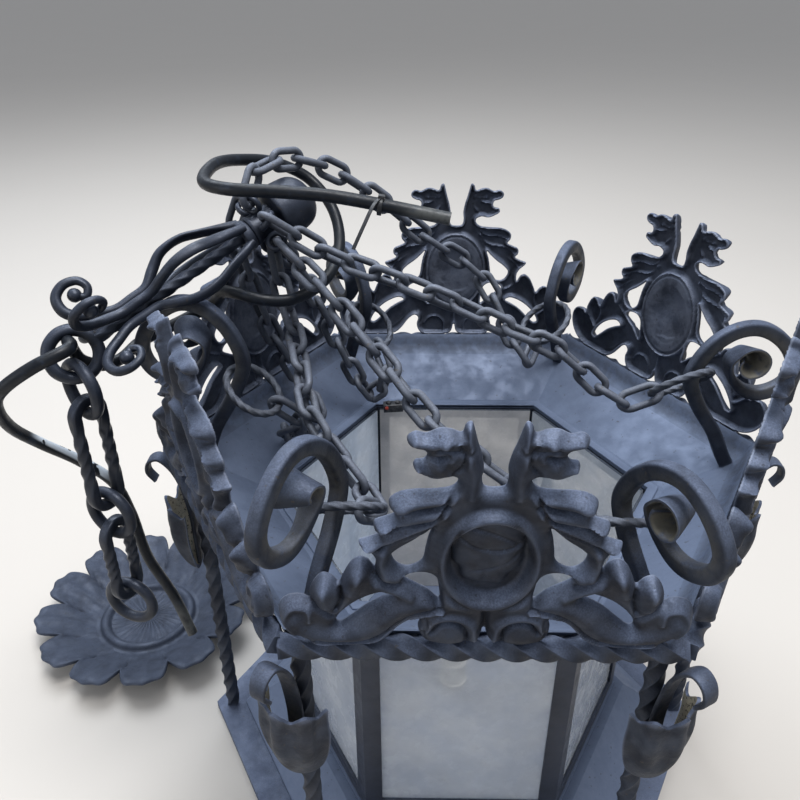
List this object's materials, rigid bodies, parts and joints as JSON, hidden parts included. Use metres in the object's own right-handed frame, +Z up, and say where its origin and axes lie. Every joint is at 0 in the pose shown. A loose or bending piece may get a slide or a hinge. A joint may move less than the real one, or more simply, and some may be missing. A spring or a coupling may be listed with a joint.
{
  "type": "wrought iron ceiling lantern",
  "caption": "Six-sided wrought iron hanging lantern with glass panes, twisted columns, beast crests on the rim, corner scrolls with rings and chains, stem, hooks, ceiling rose and loose flex.",
  "frame": {"origin": "middle of the whole laid out group's footprint, on the table under the base ring; the lantern's own axis stands upright at x = 0.108, y = -0.003", "axes": "+Z up, +X from the lantern towards its right corner and away from the ceiling rose, +Y towards the back face"},
  "size_m": [0.7834, 0.5048, 0.5824],
  "materials": {
    "iron": "matte blue-grey blackened forged iron",
    "dusty_iron": "matte blackened sheet iron, dusty",
    "cast_iron": "matte blackened casting with dust in the hollows",
    "dark_iron": "dark blackened forged iron, slight sheen",
    "glass": "dusty clear glass",
    "bulb_glass": "frosted glass",
    "rubber": "smooth black sheath, slight sheen",
    "porcelain": "glazed white lampholder"
  },
  "bodies": {
    "lantern": {"base_ring": "iron", "base_skirt": "iron", "floor_plate": "dusty_iron", "body_frame": "dark_iron", "gallery": "dusty_iron", "rim_rope": "iron", "column_right": "iron", "capital_right": "dusty_iron", "scroll_right": "iron", "chain_right": "iron", "column_back_right": "iron", "capital_back_right": "dusty_iron", "scroll_back_right": "iron", "chain_back_right": "iron", "column_back_left": "iron", "capital_back_left": "dusty_iron", "scroll_back_left": "iron", "chain_back_left": "iron", "column_left": "iron", "capital_left": "dusty_iron", "scroll_left": "iron", "chain_left": "iron", "column_front_left": "iron", "capital_front_left": "dusty_iron", "scroll_front_left": "iron", "chain_front_left": "iron", "column_front_right": "iron", "capital_front_right": "dusty_iron", "scroll_front_right": "iron", "chain_front_right": "iron", "pane_right_back": "glass", "crest_right_back": "cast_iron", "pane_back": "glass", "crest_back": "cast_iron", "pane_left_back": "glass", "crest_left_back": "cast_iron", "pane_left_front": "glass", "crest_left_front": "cast_iron", "pane_front": "glass", "crest_front": "cast_iron", "pane_right_front": "glass", "crest_right_front": "cast_iron", "stem": "dark_iron", "hub": "dark_iron", "stem_brackets": "dark_iron", "lampholder": "porcelain", "ceiling_rose": "cast_iron", "flex": "rubber"},
    "ring_right": {"ring_right": "iron"},
    "ring_back_right": {"ring_back_right": "iron"},
    "ring_back_left": {"ring_back_left": "iron"},
    "ring_left": {"ring_left": "iron"},
    "ring_front_left": {"ring_front_left": "iron"},
    "ring_front_right": {"ring_front_right": "iron"},
    "suspension_ring_upper": {"suspension_ring_upper": "dark_iron"},
    "suspension_link_upper": {"suspension_link_upper": "dark_iron"},
    "suspension_ring_middle": {"suspension_ring_middle": "dark_iron"},
    "suspension_link_lower": {"suspension_link_lower": "dark_iron"},
    "suspension_ring_lower": {"suspension_ring_lower": "dark_iron"},
    "bulb": {"bulb": "bulb_glass"}
  },
  "joints": [
    {"name": "ring_right_turn", "type": "hinge", "parent": "lantern", "child": "ring_right", "pos_m": [0.28629, -0.00305, 0.41126], "axis": [0.299, -0.6428, -0.7053], "continuous": true},
    {"name": "ring_back_right_turn", "type": "hinge", "parent": "lantern", "child": "ring_back_right", "pos_m": [0.19637, 0.15039, 0.39611], "axis": [0.5448, 0.2596, -0.7974], "continuous": true},
    {"name": "ring_back_left_turn", "type": "hinge", "parent": "lantern", "child": "ring_back_left", "pos_m": [0.01787, 0.15269, 0.39121], "axis": [-0.5432, 0.4232, -0.7251], "continuous": true},
    {"name": "ring_left_turn", "type": "hinge", "parent": "lantern", "child": "ring_left", "pos_m": [-0.07176, -0.00305, 0.40266], "axis": [-0.5909, 0.1736, -0.7878], "continuous": true},
    {"name": "ring_front_left_turn", "type": "hinge", "parent": "lantern", "child": "ring_front_left", "pos_m": [0.018, -0.15855, 0.39881], "axis": [0.0143, -0.6593, -0.7518], "continuous": true},
    {"name": "ring_front_right_turn", "type": "hinge", "parent": "lantern", "child": "ring_front_right", "pos_m": [0.19729, -0.15809, 0.38948], "axis": [-0.0476, -0.6016, -0.7974], "continuous": true},
    {"name": "suspension_ring_upper_swing", "type": "hinge", "parent": "lantern", "child": "suspension_ring_upper", "pos_m": [-0.19309, -0.05512, 0.44163], "axis": [0.8956, 0.4448, 0], "range_deg": [-3, 2]},
    {"name": "suspension_link_upper_swing", "type": "hinge", "parent": "suspension_ring_upper", "child": "suspension_link_upper", "pos_m": [-0.19309, -0.05512, 0.41043], "axis": [0.766, -0.6428, 0], "range_deg": [-5, 3]},
    {"name": "suspension_ring_middle_swing", "type": "hinge", "parent": "suspension_link_upper", "child": "suspension_ring_middle", "pos_m": [-0.19309, -0.05512, 0.32123], "axis": [0.5299, 0.848, 0], "range_deg": [-6, 4]},
    {"name": "suspension_link_lower_swing", "type": "hinge", "parent": "suspension_ring_middle", "child": "suspension_link_lower", "pos_m": [-0.19309, -0.05512, 0.29003], "axis": [0.9063, -0.4226, 0], "range_deg": [-8, 4]},
    {"name": "suspension_ring_lower_swing", "type": "hinge", "parent": "suspension_link_lower", "child": "suspension_ring_lower", "pos_m": [-0.19309, -0.05512, 0.22083], "axis": [0.4226, 0.9063, 0], "range_deg": [-20, 12]},
    {"name": "bulb_turn", "type": "hinge", "parent": "lantern", "child": "bulb", "pos_m": [0.10778, -0.00305, 0.1], "axis": [0, 0, 1], "range_deg": [0, 180]}
  ]
}
